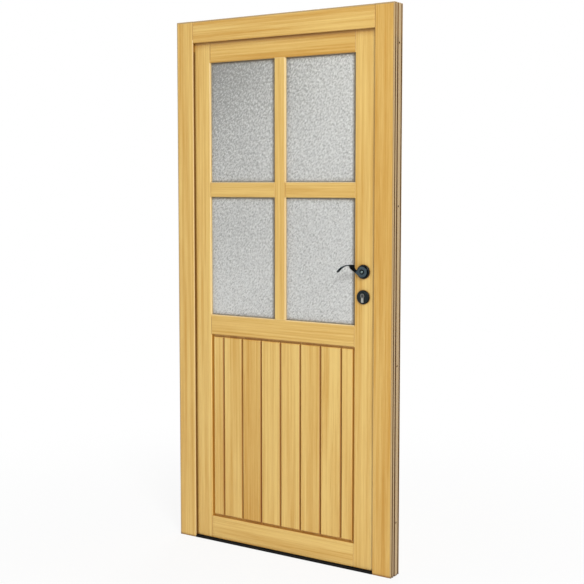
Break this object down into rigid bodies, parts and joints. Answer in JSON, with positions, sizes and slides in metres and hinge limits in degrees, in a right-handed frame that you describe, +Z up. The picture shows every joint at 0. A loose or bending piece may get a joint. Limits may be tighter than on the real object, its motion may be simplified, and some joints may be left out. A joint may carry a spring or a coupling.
{
  "type": "entrance door with frame",
  "caption": "Timber side entrance door hung in its rebated frame: barred ornamental glazing above, tongued boards below, forged lever, key rose and mortice lock.",
  "frame": {"origin": "middle of the threshold's underside, halfway through the frame's depth", "axes": "+X along the width towards the lock side, +Y towards the inside of the house, +Z up; the outside faces -Y"},
  "size_m": [0.98, 0.1442, 2.08],
  "materials": {
    "spruce": "honey-coloured satin varnish",
    "ornamental_glass": "rolled ornamental",
    "clear_glass": "clear",
    "black_iron": "blackened, satin",
    "nickel": "satin nickel",
    "zinc_steel": "zinc plated",
    "black_aluminium": "black anodised",
    "spacer_aluminium": "mill",
    "pale_sealant": "satin",
    "black_rubber": "matt"
  },
  "bodies": {
    "frame": {"hinge_jamb": "spruce", "lock_jamb": "spruce", "frame_head": "spruce", "threshold": "black_aluminium", "frame_gasket": "black_rubber", "strike_plate": "zinc_steel", "strike_screws": "zinc_steel", "hinge_bottom_frame_half": "zinc_steel", "hinge_middle_frame_half": "zinc_steel", "hinge_top_frame_half": "zinc_steel", "hinge_pins": "zinc_steel"},
    "leaf": {"hinge_stile": "spruce", "lock_stile": "spruce", "top_rail": "spruce", "mid_rail": "spruce", "bottom_rail": "spruce", "foot_seal": "black_rubber", "upright_bar": "spruce", "cross_bar_left": "spruce", "cross_bar_right": "spruce", "outer_pane_upper_left": "ornamental_glass", "outer_pane_upper_right": "ornamental_glass", "outer_pane_lower_left": "ornamental_glass", "outer_pane_lower_right": "ornamental_glass", "inner_pane_upper_left": "clear_glass", "inner_pane_upper_right": "clear_glass", "inner_pane_lower_left": "clear_glass", "inner_pane_lower_right": "clear_glass", "glazing_beads_upper_left": "spruce", "glazing_beads_upper_right": "spruce", "glazing_beads_lower_left": "spruce", "glazing_beads_lower_right": "spruce", "glass_spacers": "spacer_aluminium", "glazing_seals": "pale_sealant", "board_1": "spruce", "board_2": "spruce", "board_3": "spruce", "board_4": "spruce", "board_5": "spruce", "board_6": "spruce", "board_7": "spruce", "board_8": "spruce", "hinge_bottom_leaf_half": "zinc_steel", "hinge_middle_leaf_half": "zinc_steel", "hinge_top_leaf_half": "zinc_steel", "lock_case": "zinc_steel", "lock_faceplate": "zinc_steel", "faceplate_screws": "zinc_steel", "outer_rose": "black_iron", "inner_rose": "black_iron", "outer_key_rose": "black_iron", "inner_key_rose": "black_iron", "cylinder_body": "nickel"},
    "handle": {"outer_lever": "black_iron", "inner_lever": "black_iron", "spindle": "zinc_steel", "follower": "zinc_steel"},
    "latch": {"latch_bolt": "zinc_steel"},
    "plug": {"cylinder_plug": "nickel"},
    "bolt": {"dead_bolt": "zinc_steel"}
  },
  "joints": [
    {"name": "leaf_swing", "type": "hinge", "parent": "frame", "child": "leaf", "pos_m": [-0.4235, 0.04, 0], "axis": [0, 0, 1], "range_deg": [0, 100]},
    {"name": "handle_turn", "type": "hinge", "parent": "leaf", "child": "handle", "pos_m": [0.362, 0.006, 1.12], "axis": [0, -1, 0], "range_deg": [0, 40], "stiffness_Nm_per_rad": 1.5, "springref_deg": -17.19},
    {"name": "latch_slide", "type": "slide", "parent": "leaf", "child": "latch", "axis": [-1, 0, 0], "range_m": [0, 0.012]},
    {"name": "plug_turn", "type": "hinge", "parent": "leaf", "child": "plug", "pos_m": [0.362, 0.006, 1.032], "axis": [0, 1, 0], "range_deg": [0, 360]},
    {"name": "bolt_slide", "type": "slide", "parent": "leaf", "child": "bolt", "axis": [1, 0, 0], "range_m": [0, 0.02]}
  ],
  "couplings": [
    {"joint": "latch_slide", "follows": "handle_turn", "m_per_rad": 0.01718},
    {"joint": "plug_turn", "follows": "bolt_slide", "rad_per_m": 314.15}
  ]
}
